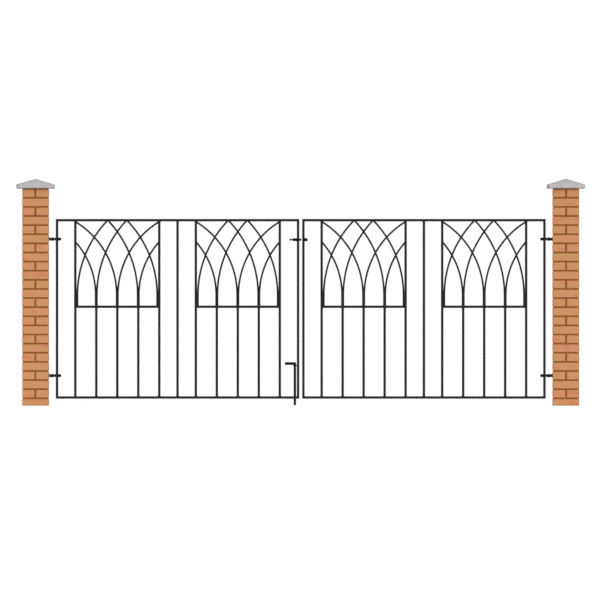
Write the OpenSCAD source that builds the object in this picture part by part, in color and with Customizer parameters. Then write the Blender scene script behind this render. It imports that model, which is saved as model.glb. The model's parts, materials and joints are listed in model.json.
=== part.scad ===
// Double driveway gate: two steel leaves with interlaced arch tracery, hung
// between two square brick piers. Millimetres, Z up, X along the gateway.
// The origin is the middle of the left pier's base.

/* [Gateway] */
// Clear width between the two piers
opening_w = 4080; // [3600:10:4400]
// Height of the leaves' lower edge above the ground
ground_gap = 55; // [54:1:110]
// Space between each pier and its leaf, which the hinges bridge
hinge_gap = 56; // [54:1:70]
// Space between the two leaves where they meet
meeting_gap = 23; // [23:1:34]

/* [Piers] */
// Side of each square pier
pier_w = 215; // [200:1:330]
// Height of the brickwork
pier_h = 1757; // [1650:1:2200]
// Side of the square cap stone
cap_w = 305; // [300:1:380]
// Height of the cap's upright edge
cap_edge_h = 32; // [25:1:60]
// Rise of the cap's sloping top above its edge
cap_rise = 46; // [30:1:90]
// Side of the small flat at the cap's peak
cap_peak_w = 12; // [6:1:30]
// Distance from the cap's edge to its drip groove
drip_inset = 16; // [12:1:18]
// Width of the drip groove
drip_w = 12; // [8:1:14]
// Depth of the drip groove
drip_d = 8; // [4:1:10]

/* [Leaves] */
// Height of each leaf
leaf_h = 1456; // [1360:1:1560]
// Face width of the frame's flat bars
frame_w = 20; // [16:0.5:22]
// Depth of the frame's flat bars, front to back
frame_d = 30; // [28:0.5:38]
// Side of the square infill bars and mid rails
bar_w = 20; // [17:0.5:21]
// Width of an arched panel, between the middles of its side bars
panel_w = 680; // [560:5:720]
// Height of the mid rails' middle above the leaf's lower edge
mid_rail_up = 745; // [640:1:800]

/* [Tracery] */
// Face width of the arch bars
arch_w = 15; // [12:0.5:16]
// Depth of each of the two lapped layers of arch bars
arch_d = 8; // [6:0.5:8]
// Height of each arch bar's straight foot above the mid rail
arch_upright = 85; // [50:1:120]
// Distance from a panel's middle to the two points where arches meet at the top rail
apex_offset = 77; // [60:1:95]
// Distance below the top rail at which the third arch meets the side bar
corner_drop = 8; // [4:1:30]
// Distance below the top rail at which the last arch meets the side bar
side_arch_drop = 176; // [130:1:230]
// Distance between the middles of two arch bars that lap as they stand over one short bar
foot_spread = 10; // [8:0.5:11]
// Space between an outermost arch bar's foot and the panel's side bar
foot_gap = 0.5; // [0.4:0.1:2]
// Depth that the two layers sink into each other where they are welded
weld_bite = 0.5; // [0.3:0.1:1]

/* [Hinges] */
// Distance of the top hinges below the leaf's top edge
top_hinge_drop = 163; // [120:1:260]
// Height of the bottom hinges above the leaf's lower edge
bottom_hinge_up = 187; // [120:1:260]
// Diameter of the hinge pins
pin_d = 12; // [10:0.5:13]
// Distance of the pins' middle from the pier's face
pin_out = 30; // [28:0.5:30]
// Diameter of the flat eye that turns on a pin
eye_d = 30; // [28:0.5:30]
// Thickness of the flat eye
eye_t = 8; // [7:0.5:12]
// Length of the flat neck between an eye and its shank
eye_neck_l = 0.5; // [0.5:0.5:4]
// Width of that neck
eye_neck_w = 14; // [10:0.5:14]
// Thickness of each ear of the pier's fork
ear_t = 7.5; // [4.5:0.5:8]
// Width of the fork's ears
ear_w = 28; // [26:0.5:28]
// Thickness of the fork's shoulder against the brickwork
shoulder_t = 13; // [8:0.5:13]
// Side of the fork's square tail inside the brickwork
tail_w = 20; // [12:0.5:20]
// Length of the fork's tail inside the brickwork
tail_l = 80; // [50:1:90]
// Diameter of the pins' heads
pin_head_d = 18; // [16:0.5:20]
// Height of the pins' heads
pin_head_h = 2; // [2:0.5:6]
// Diameter of the threaded shank that carries the leaf
shank_d = 16; // [14:0.5:16]
// Length of the shank past the hinge stile
shank_end = 25; // [24:1:40]
// Width of the nuts across their flats
nut_af = 24; // [20.5:0.5:25]
// Thickness of the lock nut on the pier side of the stile
lock_nut_t = 8; // [6:0.5:8]
// Thickness of the nut on the inner side of the stile
nut_t = 20; // [12:0.5:22]
// Running clearance around the hinge pins
pin_clear = 0.08; // [0.05:0.01:0.1]
// Clearance above and below the flat eye
eye_clear = 0.3; // [0.2:0.05:0.5]
// Clearance around the shank, in the stile and the nuts
shank_clear = 0.2; // [0.15:0.05:0.4]
// Chamfer on the ends of the shanks, pin heads, handle and latch bolt
end_chamfer = 1.5; // [0.5:0.1:2]

/* [Drop bolt] */
// Diameter of the drop bolt's rod
rod_d = 20; // [17:0.5:21]
// Distance of the rod's middle from the meeting stile
rod_out = 16; // [15:0.5:24]
// Height of the handle's middle above the ground
handle_up = 340; // [280:1:420]
// Diameter of the handle, thicker than the rod
handle_d = 23; // [22:0.5:26]
// Space for a hand between the handle's end and the next bar
handle_gap = 32; // [20:1:50]
// Height of the rod's lower end above the ground
rod_ground_gap = 2; // [1:1:10]
// Length of the rod's tapered tip
rod_tip = 8; // [6:1:24]
// Diameter of the tapered tip's end
rod_tip_d = 15; // [6:0.5:16]
// Thickness of the guide that carries the handle
guide_t = 8; // [6:1:20]
// Wall of the guide around the rod
guide_wall = 4; // [3:0.5:8]
// Clearance around the rod and under the handle
rod_clear = 0.3; // [0.2:0.05:0.5]

/* [Latch] */
// Distance of the latch below the leaf's top edge
latch_drop = 168; // [140:1:260]
// Diameter of the sliding latch bolt
bolt_d = 18; // [15:0.5:18]
// Length of the latch bolt's tail out of its housing
bolt_tail = 27; // [24:1:40]
// Diameter of the neck behind the latch bolt's ball end
neck_d = 9; // [7:0.5:10]
// Length of that neck
neck_l = 5; // [3:0.5:7]
// Length of the latch bolt's nose past the leaf's edge when drawn back
bolt_nose = 17; // [12:1:17]
// Travel of the latch bolt
bolt_throw = 28; // [24:1:30]
// Side of the square latch housing
housing_w = 24; // [23:0.5:28]
// Length of the latch housing
housing_l = 52; // [50:1:70]
// Diameter of the knob's stem
stem_d = 8; // [6:0.5:8]
// Diameter of the ball knob
knob_d = 16; // [14:0.5:20]
// Length of the knob's stem in front of the housing
stem_out = 6; // [4:0.5:12]
// Distance of the stem's seat in front of the latch bolt's middle
stem_seat = 3; // [2:0.5:4]
// Clearance around the stem in the housing's slot
stem_clear = 0.5; // [0.3:0.1:1]
// Metal left between the housing's rear end and its slot
slot_end = 6; // [4:0.5:10]
// Length of the keep on the other leaf
keep_l = 44; // [36:1:60]
// Wall of the keep
keep_wall = 2; // [2:0.5:3]
// Clearance around the latch bolt in its housing
bolt_clear = 0.3; // [0.2:0.05:0.5]
// Clearance around the latch bolt in the keep
keep_clear = 1.5; // [1.2:0.1:2.5]

/* [Hidden] */
$fn = 72;
arc_fn = 360;
eps = 1;
pier_face = pier_w / 2;
centre_x = pier_face + opening_w / 2;
leaf_w = (opening_w - 2 * hinge_gap - meeting_gap) / 2;
leaf_x0 = pier_face + hinge_gap;
leaf_x1 = leaf_x0 + leaf_w;
leaf_z0 = ground_gap;
leaf_z1 = ground_gap + leaf_h;
rail_top_z = leaf_z0 + frame_w;
rail_under_z = leaf_z1 - frame_w;
rail_mid_z = leaf_z1 - frame_w / 2;
mid_z = leaf_z0 + mid_rail_up;
mid_top_z = mid_z + bar_w / 2;
mid_under_z = mid_z - bar_w / 2;
stile_mid = leaf_x0 + frame_w / 2;
side_gap = (leaf_w - frame_w - 2 * panel_w) / 4;
panel_x = [stile_mid + side_gap, stile_mid + 3 * side_gap + panel_w];
centre_bar_x = stile_mid + 2 * side_gap + panel_w;
bay = panel_w / 4;
tall_x = [panel_x[0], panel_x[0] + panel_w, centre_bar_x, panel_x[1], panel_x[1] + panel_w];
arch_upright_z = mid_top_z + arch_upright;
hinge_z = [leaf_z1 - top_hinge_drop, leaf_z0 + bottom_hinge_up];
pin_x = pier_face + pin_out;
fork_gap = eye_t + 2 * eye_clear;
fork_h = fork_gap + 2 * ear_t;
shank_x0 = pin_x + eye_d / 2 + eye_neck_l;
shank_x1 = leaf_x0 + frame_w + shank_end;
rod_x = leaf_x1 - frame_w - rod_out;
handle_x = tall_x[4] + bar_w / 2 + handle_gap;
guide_top = handle_up - handle_d / 2 - rod_clear;
latch_z = leaf_z1 - latch_drop;
latch_y = -frame_d / 2 - housing_w / 2;
housing_x0 = leaf_x1 - housing_l;
slot_w = stem_d + 2 * stem_clear;
slot_l = bolt_throw + slot_w;
stem_x = housing_x0 + slot_end + slot_w / 2;
keep_h = bolt_d + 2 * keep_clear;
keep_x0 = 2 * centre_x - leaf_x1;

// Which node to draw, or all of them

brick = [0.80, 0.55, 0.38];
stone = [0.70, 0.70, 0.70];
black = [0.05, 0.05, 0.05];

// Draws its children on the left, or mirrored about the gateway's middle on the right
module on(side) {
    if (side == "left") children();
    else translate([2 * centre_x, 0, 0]) mirror([1, 0, 0]) children();
}

// A box from its low corner to its high corner
module box(lo, hi) {
    translate(lo) cube(hi - lo);
}

// A round bar along X
module round_x(x0, x1, y, z, d) {
    translate([x0, y, z]) rotate([0, 90, 0]) cylinder(d = d, h = x1 - x0);
}

// A chamfered end, 1 for the far one and -1 for the near one, of a round bar along X
module end_x(x, y, z, d, way) {
    translate([x, y, z]) rotate([0, 90 * way, 0])
        cylinder(d1 = d, d2 = d - 2 * end_chamfer, h = end_chamfer);
}

// A round bar along X with a chamfer at its far end
module chamfered_x(x0, x1, y, z, d) {
    round_x(x0, x1 - end_chamfer, y, z, d);
    end_x(x1 - end_chamfer, y, z, d, 1);
}

// A round bar along Z
module round_z(x, y, z0, z1, d) {
    translate([x, y, z0]) cylinder(d = d, h = z1 - z0);
}

// Brickwork, with a square pocket for each hinge fork's tail
module pier(side) {
    color(brick) on(side) difference() {
        box([-pier_face, -pier_face, 0], [pier_face, pier_face, pier_h]);
        for (z = hinge_z)
            box([pier_face - tail_l, -tail_w / 2, z - tail_w / 2], [pier_face + eps, tail_w / 2, z + tail_w / 2]);
    }
}

// Weathered cap stone with a drip groove around its underside
module pier_cap(side) {
    groove_out = cap_w - 2 * drip_inset;
    groove_in = groove_out - 2 * drip_w;
    color(stone) on(side) translate([0, 0, pier_h]) difference() {
        union() {
            translate([-cap_w / 2, -cap_w / 2, 0]) cube([cap_w, cap_w, cap_edge_h]);
            translate([0, 0, cap_edge_h]) linear_extrude(height = cap_rise, scale = cap_peak_w / cap_w)
                square(cap_w, center = true);
        }
        difference() {
            translate([-groove_out / 2, -groove_out / 2, -eps]) cube([groove_out, groove_out, drip_d + eps]);
            translate([-groove_in / 2, -groove_in / 2, -2 * eps]) cube([groove_in, groove_in, drip_d + 3 * eps]);
        }
    }
}

// Fork with two ears above and below the leaf's eye, its tail built into the pier
module hinge_fork(side, z) {
    color(black) on(side) difference() {
        union() {
            box([pier_face - tail_l, -tail_w / 2, z - tail_w / 2], [pier_face + eps, tail_w / 2, z + tail_w / 2]);
            box([pier_face, -ear_w / 2, z - fork_h / 2], [pier_face + shoulder_t, ear_w / 2, z + fork_h / 2]);
            for (z0 = [z - fork_h / 2, z + fork_gap / 2]) {
                box([pier_face, -ear_w / 2, z0], [pin_x, ear_w / 2, z0 + ear_t]);
                round_z(pin_x, 0, z0, z0 + ear_t, ear_w);
            }
        }
        round_z(pin_x, 0, z - fork_h, z + fork_h, pin_d + 2 * pin_clear);
    }
}

// A pin's head, with its outer edge chamfered
module pin_head() {
    cylinder(d = pin_head_d, h = pin_head_h - end_chamfer);
    translate([0, 0, pin_head_h - end_chamfer])
        cylinder(d1 = pin_head_d, d2 = pin_head_d - 2 * end_chamfer, h = end_chamfer);
}

// Pins through the forks and eyes of one side, headed at both ends
module hinge_pins(side) {
    color(black) on(side) for (z = hinge_z) translate([pin_x, 0, z]) {
        cylinder(d = pin_d, h = fork_h, center = true);
        translate([0, 0, fork_h / 2]) pin_head();
        mirror([0, 0, 1]) translate([0, 0, fork_h / 2]) pin_head();
    }
}

module top_rail(side) {
    color(black) on(side)
        box([leaf_x0 + frame_w, -frame_d / 2, rail_under_z], [leaf_x1 - frame_w, frame_d / 2, leaf_z1]);
}

// The left one is bored for the drop bolt
module bottom_rail(side) {
    color(black) on(side) difference() {
        box([leaf_x0 + frame_w, -frame_d / 2, leaf_z0], [leaf_x1 - frame_w, frame_d / 2, rail_top_z]);
        if (side == "left")
            round_z(rod_x, 0, leaf_z0 - eps, rail_top_z + eps, rod_d + 2 * rod_clear);
    }
}

// Drilled for the two hinge shanks
module hinge_stile(side) {
    color(black) on(side) difference() {
        box([leaf_x0, -frame_d / 2, leaf_z0], [leaf_x0 + frame_w, frame_d / 2, leaf_z1]);
        for (z = hinge_z)
            round_x(leaf_x0 - eps, leaf_x0 + frame_w + eps, 0, z, shank_d + 2 * shank_clear);
    }
}

module meeting_stile(side) {
    color(black) on(side)
        box([leaf_x1 - frame_w, -frame_d / 2, leaf_z0], [leaf_x1, frame_d / 2, leaf_z1]);
}

// Square bars that run from the bottom rail to the top rail
module tall_bars(side) {
    color(black) on(side) for (x = tall_x)
        box([x - bar_w / 2, -bar_w / 2, rail_top_z], [x + bar_w / 2, bar_w / 2, rail_under_z]);
}

// Square bars below the arched panels
module short_bars(side) {
    color(black) on(side) for (p = panel_x, i = [1:3])
        box([p + i * bay - bar_w / 2, -bar_w / 2, rail_top_z], [p + i * bay + bar_w / 2, bar_w / 2, mid_under_z]);
}

module mid_rail(side, k) {
    color(black) on(side)
        box([panel_x[k] + bar_w / 2, -bar_w / 2, mid_under_z], [panel_x[k] + panel_w - bar_w / 2, bar_w / 2, mid_top_z]);
}

// Outline of one arch bar: a straight foot at u, and a ring that leans over from it
// to (u1, z1), cut to the panel's opening
module arch_outline(u, u1, z1) {
    run = u1 - u;
    rise = z1 - arch_upright_z;
    r = (run * run + rise * rise) / (2 * run);
    translate([u - arch_w / 2, mid_top_z]) square([arch_w, arch_upright]);
    intersection() {
        translate([u + r, arch_upright_z]) difference() {
            circle(r = r + arch_w / 2, $fn = arc_fn);
            circle(r = r - arch_w / 2, $fn = arc_fn);
        }
        translate([bar_w / 2, arch_upright_z])
            square([panel_w - bar_w, rail_under_z - arch_upright_z]);
    }
}

// The four arch bars of one layer, all leaning the same way
module arch_layer() {
    mid = panel_w / 2;
    far = panel_w - bar_w / 2;
    beside = foot_spread / 2;
    arch_outline(bar_w / 2 + foot_gap + arch_w / 2, mid - apex_offset, rail_mid_z);
    arch_outline(bay + beside, mid + apex_offset, rail_mid_z);
    arch_outline(2 * bay + beside, far, rail_under_z - corner_drop);
    arch_outline(3 * bay + beside, far, rail_under_z - side_arch_drop);
}

// Interlaced arches of one panel: two layers that lean opposite ways, welded where they cross
module tracery(side, k) {
    color(black) on(side) translate([panel_x[k], 0, 0]) union() {
        translate([0, weld_bite, 0]) rotate([90, 0, 0])
            linear_extrude(height = arch_d + weld_bite) arch_layer();
        translate([0, arch_d, 0]) rotate([90, 0, 0])
            linear_extrude(height = arch_d + weld_bite) translate([panel_w, 0]) mirror([1, 0]) arch_layer();
    }
}

// Flat eye on a threaded shank that passes through the hinge stile
module hinge_eye(side, z) {
    color(black) on(side) difference() {
        union() {
            round_z(pin_x, 0, z - eye_t / 2, z + eye_t / 2, eye_d);
            box([pin_x, -eye_neck_w / 2, z - eye_t / 2], [shank_x0 + eps, eye_neck_w / 2, z + eye_t / 2]);
            chamfered_x(shank_x0, shank_x1, 0, z, shank_d);
        }
        round_z(pin_x, 0, z - eye_t, z + eye_t, pin_d + 2 * pin_clear);
    }
}

// A hexagon nut on a shank, with a flat on top
module hex_nut(x, z, t) {
    difference() {
        translate([x, 0, z]) rotate([0, 90, 0]) rotate(30) cylinder(d = nut_af / cos(30), h = t, $fn = 6);
        round_x(x - eps, x + t + eps, 0, z, shank_d + 2 * shank_clear);
    }
}

// Lock nuts and nuts that clamp the shanks to one hinge stile
module hinge_nuts(side) {
    color(black) on(side) for (z = hinge_z) {
        hex_nut(leaf_x0 - lock_nut_t, z, lock_nut_t);
        hex_nut(leaf_x0 + frame_w, z, nut_t);
    }
}

// Block on the meeting stile that guides the drop bolt and carries its handle
module drop_bolt_guide() {
    color(black) difference() {
        box([rod_x - rod_d / 2 - rod_clear - guide_wall, -rod_d / 2 - rod_clear - guide_wall, guide_top - guide_t],
            [leaf_x1 - frame_w, rod_d / 2 + rod_clear + guide_wall, guide_top]);
        round_z(rod_x, 0, guide_top - guide_t - eps, guide_top + eps, rod_d + 2 * rod_clear);
    }
}

// Round rod with a tapered tip, and a thicker handle across its top
module drop_bolt() {
    tip_z = rod_ground_gap + rod_tip;
    handle_x0 = handle_x + end_chamfer;
    handle_x1 = rod_x + rod_d / 2 - end_chamfer;
    color(black) union() {
        translate([rod_x, 0, rod_ground_gap]) cylinder(d1 = rod_tip_d, d2 = rod_d, h = rod_tip);
        round_z(rod_x, 0, tip_z, handle_up, rod_d);
        round_x(handle_x0, handle_x1, 0, handle_up, handle_d);
        end_x(handle_x0, 0, handle_up, handle_d, -1);
        end_x(handle_x1, 0, handle_up, handle_d, 1);
    }
}

// Square tube on the meeting stile, slotted in front for the knob's stem
module latch_housing() {
    color(black) difference() {
        box([housing_x0, latch_y - housing_w / 2, latch_z - housing_w / 2],
            [leaf_x1, latch_y + housing_w / 2, latch_z + housing_w / 2]);
        round_x(housing_x0 - eps, leaf_x1 + eps, latch_y, latch_z, bolt_d + 2 * bolt_clear);
        box([stem_x - slot_w / 2, latch_y - housing_w, latch_z - slot_w / 2],
            [stem_x - slot_w / 2 + slot_l, latch_y, latch_z + slot_w / 2]);
    }
}

// Round bolt with a ball end, drawn back, with a socket for the knob's stem
module latch_bolt() {
    ball_x = housing_x0 - bolt_tail + bolt_d / 2;
    body_x = ball_x + bolt_d / 2 + neck_l;
    color(black) difference() {
        union() {
            translate([ball_x, latch_y, latch_z]) rotate([0, 90, 0]) sphere(d = bolt_d);
            round_x(ball_x, body_x + eps, latch_y, latch_z, neck_d);
            chamfered_x(body_x, leaf_x1 + bolt_nose, latch_y, latch_z, bolt_d);
        }
        translate([stem_x, latch_y - stem_seat, latch_z]) rotate([90, 0, 0])
            cylinder(d = stem_d + 2 * bolt_clear, h = bolt_d);
    }
}

// Ball knob and stem that move the latch bolt
module latch_knob() {
    ball_y = latch_y - housing_w / 2 - stem_out - knob_d / 2;
    color(black) union() {
        translate([stem_x, latch_y - stem_seat, latch_z]) rotate([90, 0, 0])
            cylinder(d = stem_d, h = latch_y - stem_seat - ball_y);
        translate([stem_x, ball_y, latch_z]) sphere(d = knob_d);
    }
}

// Staple on the other leaf that the latch bolt shoots into
module latch_keep() {
    back = -frame_d / 2;
    inner = latch_y - bolt_d / 2 - keep_clear;
    color(black) difference() {
        box([keep_x0, inner - keep_wall, latch_z - keep_h / 2 - keep_wall],
            [keep_x0 + keep_l, back, latch_z + keep_h / 2 + keep_wall]);
        box([keep_x0 - eps, inner, latch_z - keep_h / 2],
            [keep_x0 + keep_l + eps, back + eps, latch_z + keep_h / 2]);
    }
}

pier("left");  // left_pier
pier("right");  // right_pier
pier_cap("left");  // left_pier_cap
pier_cap("right");  // right_pier_cap
hinge_fork("left", hinge_z[0]);  // left_top_hinge_fork
hinge_fork("left", hinge_z[1]);  // left_bottom_hinge_fork
hinge_fork("right", hinge_z[0]);  // right_top_hinge_fork
hinge_fork("right", hinge_z[1]);  // right_bottom_hinge_fork
hinge_pins("left");  // left_hinge_pins
hinge_pins("right");  // right_hinge_pins
top_rail("left");  // left_top_rail
bottom_rail("left");  // left_bottom_rail
hinge_stile("left");  // left_hinge_stile
meeting_stile("left");  // left_meeting_stile
tall_bars("left");  // left_tall_bars
short_bars("left");  // left_short_bars
mid_rail("left", 0);  // left_outer_mid_rail
mid_rail("left", 1);  // left_inner_mid_rail
tracery("left", 0);  // left_outer_tracery
tracery("left", 1);  // left_inner_tracery
hinge_eye("left", hinge_z[0]);  // left_top_hinge_eye
hinge_eye("left", hinge_z[1]);  // left_bottom_hinge_eye
hinge_nuts("left");  // left_hinge_nuts
top_rail("right");  // right_top_rail
bottom_rail("right");  // right_bottom_rail
hinge_stile("right");  // right_hinge_stile
meeting_stile("right");  // right_meeting_stile
tall_bars("right");  // right_tall_bars
short_bars("right");  // right_short_bars
mid_rail("right", 0);  // right_outer_mid_rail
mid_rail("right", 1);  // right_inner_mid_rail
tracery("right", 0);  // right_outer_tracery
tracery("right", 1);  // right_inner_tracery
hinge_eye("right", hinge_z[0]);  // right_top_hinge_eye
hinge_eye("right", hinge_z[1]);  // right_bottom_hinge_eye
hinge_nuts("right");  // right_hinge_nuts
drop_bolt_guide();
drop_bolt();
latch_housing();
latch_bolt();
latch_knob();
latch_keep();
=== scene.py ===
import json
import math

import bmesh
import bpy
import numpy as np
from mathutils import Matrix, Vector, noise


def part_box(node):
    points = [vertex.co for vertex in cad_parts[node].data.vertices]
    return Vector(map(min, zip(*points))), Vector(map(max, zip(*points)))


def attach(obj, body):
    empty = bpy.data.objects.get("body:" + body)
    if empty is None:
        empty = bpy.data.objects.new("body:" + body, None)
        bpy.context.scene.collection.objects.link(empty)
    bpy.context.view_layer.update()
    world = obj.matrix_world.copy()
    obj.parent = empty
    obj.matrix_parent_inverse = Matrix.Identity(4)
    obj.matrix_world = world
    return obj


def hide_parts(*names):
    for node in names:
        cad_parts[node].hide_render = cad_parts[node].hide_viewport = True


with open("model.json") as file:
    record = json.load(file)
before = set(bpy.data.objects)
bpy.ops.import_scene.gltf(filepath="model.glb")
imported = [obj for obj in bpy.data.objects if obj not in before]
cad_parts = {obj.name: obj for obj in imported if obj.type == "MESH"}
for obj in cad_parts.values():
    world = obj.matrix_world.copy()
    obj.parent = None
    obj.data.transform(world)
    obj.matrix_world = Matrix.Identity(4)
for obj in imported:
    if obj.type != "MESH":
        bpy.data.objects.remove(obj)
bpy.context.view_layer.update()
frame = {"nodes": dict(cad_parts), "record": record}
nodes = frame["nodes"]
rng = np.random.default_rng(11)

# Places and sizes from the frame, in metres
MM = 0.001
pier_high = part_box("left_pier")[1]
far_low, far_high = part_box("right_pier")
PIER_X = {"left": 0.0, "right": (far_low.x + far_high.x) / 2}
CENTRE_X = PIER_X["right"] / 2
PIER_HALF = pier_high.x
PIER_TOP = pier_high.z
cap_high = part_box("left_pier_cap")[1]
CAP_HALF = cap_high.x
CAP_H = cap_high.z - PIER_TOP
stile_low, stile_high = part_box("left_hinge_stile")
LEAF_X0 = stile_low.x
LEAF_X1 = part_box("left_meeting_stile")[1].x
LEAF_Z0 = stile_low.z
LEAF_Z1 = stile_high.z
FRAME_W = stile_high.x - stile_low.x
FRAME_D = stile_high.y - stile_low.y
RAIL_TOP = LEAF_Z0 + FRAME_W
RAIL_UNDER = LEAF_Z1 - FRAME_W
mid_low, mid_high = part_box("left_outer_mid_rail")
BAR = mid_high.z - mid_low.z
MID_LOW = mid_low.z
MID_TOP = mid_high.z
PANEL_W = mid_high.x - mid_low.x + BAR
PANEL_X = (mid_low.x - BAR / 2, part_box("left_inner_mid_rail")[0].x - BAR / 2)
MIDDLE_BAR_X = (PANEL_X[0] + PANEL_W + PANEL_X[1]) / 2
TALL_X = (PANEL_X[0], PANEL_X[0] + PANEL_W, MIDDLE_BAR_X, PANEL_X[1], PANEL_X[1] + PANEL_W)
SHORT_X = [p + i * PANEL_W / 4 for p in PANEL_X for i in (1, 2, 3)]
ARCH_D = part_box("left_outer_tracery")[1].y
HINGE_Z = {}
for level in ("top", "bottom"):
    eye_low, eye_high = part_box(f"left_{level}_hinge_eye")
    HINGE_Z[level] = (eye_low.z + eye_high.z) / 2
SHANK_R = (eye_high.z - eye_low.z) / 2
SHANK_X1 = eye_high.x
pin_low, pin_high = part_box("left_hinge_pins")
PIN_X = (pin_low.x + pin_high.x) / 2
nut_low, nut_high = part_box("left_hinge_nuts")
NUT_HALF = nut_high.z - HINGE_Z["top"]
LOCK_NUT_T = LEAF_X0 - nut_low.x
NUT_T = nut_high.x - LEAF_X0 - FRAME_W

# Sizes that the boxes don't show, as in the part's source
CAP_EDGE = 32 * MM
CAP_PEAK = 6 * MM
DRIP_OUT = CAP_HALF - 16 * MM
DRIP_IN = DRIP_OUT - 12 * MM
DRIP_D = 8 * MM
ARCH_W = 15 * MM
ARCH_UP = MID_TOP + 85 * MM
APEX_OFFSET = 77 * MM
SIDE_ARCH_DROP = 176 * MM
CORNER_DROP = 8 * MM
FOOT_SPREAD = 10 * MM
EYE_T = 8 * MM
PIN_BORE = 6.08 * MM


# Meshes

class Skins:
    """Closed skins that are gathered into one mesh, with numbers kept for each point."""

    def __init__(self):
        self.points = []
        self.faces = []
        self.values = {}
        self.start = 0

    def add(self, points, faces, **values):
        points = np.asarray(points, float)
        self.points.append(points)
        self.faces.extend(tuple(i + self.start for i in face) for face in faces)
        self.start += len(points)
        for key, value in values.items():
            filled = np.broadcast_to(np.asarray(value, np.float32), len(points))
            self.values.setdefault(key, []).append(filled)


def piece(name, skins, material, body, replaces=(), crease=35, mirrored=False):
    """One object from gathered skins. It rides on a body, and mirrored puts it on the right leaf."""
    points = np.concatenate(skins.points)
    if mirrored:
        points[:, 0] = 2 * CENTRE_X - points[:, 0]
    mesh = bpy.data.meshes.new(name)
    mesh.from_pydata(points.tolist(), [], skins.faces)
    for key, values in skins.values.items():
        layer = mesh.attributes.new(key, "FLOAT", "POINT")
        layer.data.foreach_set("value", np.concatenate(values).astype(np.float32))
    work = bmesh.new()
    work.from_mesh(mesh)
    bmesh.ops.recalc_face_normals(work, faces=work.faces)
    limit = math.radians(crease)
    for face in work.faces:
        face.smooth = True
    for edge in work.edges:
        edge.smooth = edge.calc_face_angle(0.0) < limit
    work.to_mesh(mesh)
    work.free()
    mesh.materials.append(material)
    obj = bpy.data.objects.new(name, mesh)
    bpy.context.scene.collection.objects.link(obj)
    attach(obj, body)
    if replaces:
        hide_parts(*replaces)
    return obj


def wander(points, scale, seed):
    """Smooth noise from -1 to 1 at each point."""
    shift = Vector((seed * 3.17, seed * 1.31, seed * 2.53))
    return np.array([noise.noise(Vector(p) * scale + shift) for p in points])


def uneven(points, *waves):
    """How deep an uneven face lies at each point. A wave is its depth, its scale and its seed."""
    return sum(depth * (1 + wander(points, scale, seed)) for depth, scale, seed in waves)


def chips(points, spots, count, reaches, depths):
    """How deep chips sink each point. They sit at points that are picked from the spots."""
    sunk = np.zeros(len(points))
    for _ in range(count):
        spot = points[rng.choice(spots)]
        reach = rng.uniform(*reaches)
        fall = np.clip(1 - ((points - spot) ** 2).sum(1) / reach**2, 0, 1)
        sunk += rng.uniform(*depths) * fall**2
    return sunk


def band(low, high, count):
    """Quads between two rings of points, from the number at which each ring starts."""
    following = [(j + 1) % count for j in range(count)]
    return [(low + j, low + k, high + k, high + j) for j, k in enumerate(following)]


def lofted(rings):
    """Points and faces of a skin through rings of equal length, closed at both ends."""
    count = len(rings[0])
    points = np.concatenate(rings)
    faces = []
    for i in range(len(rings) - 1):
        faces += band(i * count, (i + 1) * count, count)
    faces.append(tuple(reversed(range(count))))
    faces.append(tuple(range(len(points) - count, len(points))))
    return points, faces


def turned(section, place, steps):
    """Points and faces of a ring. Section gives a loop of (radius, height) at an angle, and place
    puts a point of it in space."""
    loops = []
    for i in range(steps):
        angle = 2 * math.pi * i / steps
        loops.append([place(r, angle, h) for r, h in section(angle)])
    count = len(loops[0])
    faces = []
    for i in range(steps):
        faces += band(i * count, (i + 1) % steps * count, count)
    return np.array(loops).reshape(-1, 3), faces


def box_grid(xs, ys, zs):
    """Points and quads of a box's skin on a grid."""
    index = {}
    points = []
    quads = []

    def at(i, j, k):
        if (i, j, k) not in index:
            index[(i, j, k)] = len(points)
            points.append((xs[i], ys[j], zs[k]))
        return index[(i, j, k)]

    nx, ny, nz = len(xs) - 1, len(ys) - 1, len(zs) - 1
    for i in range(nx):
        for j in range(ny):
            for k in (0, nz):
                quads.append((at(i, j, k), at(i + 1, j, k), at(i + 1, j + 1, k), at(i, j + 1, k)))
    for i in range(nx):
        for k in range(nz):
            for j in (0, ny):
                quads.append((at(i, j, k), at(i + 1, j, k), at(i + 1, j, k + 1), at(i, j, k + 1)))
    for j in range(ny):
        for k in range(nz):
            for i in (0, nx):
                quads.append((at(i, j, k), at(i, j + 1, k), at(i, j + 1, k + 1), at(i, j, k + 1)))
    return np.array(points), quads


def stops(low, high, step, near):
    """Stations along one side. Near lists those beside each end, and step is for the rest."""
    count = max(2, round((high - low - 2 * near[-1]) / step) + 1)
    inner = np.linspace(low + near[-1], high - near[-1], count)
    return np.concatenate([low + near[:-1], inner, high - near[:-1][::-1]])


def rounded(points, low, high, radius):
    """For a box's skin: where each point's rounded arris has its centre, and the way out from it."""
    centre = (low + high) / 2
    reach = (high - low) / 2 - radius
    core = centre + np.clip(points - centre, -reach, reach)
    out = points - core
    return core, out / np.linalg.norm(out, axis=1, keepdims=True)


def eased_rectangle(x0, x1, y0, y1, ease):
    """Loop of points round a rectangle whose corners are short arcs."""
    left, right, low, high = x0 + ease, x1 - ease, y0 + ease, y1 - ease
    loop = []
    for i, (x, y) in enumerate(((right, low), (right, high), (left, high), (left, low))):
        for turn in (-90, -45, 0):
            angle = math.radians(90 * i + turn)
            loop.append((x + ease * math.cos(angle), y + ease * math.sin(angle)))
    return loop


ROUND_STEPS = 4


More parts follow.
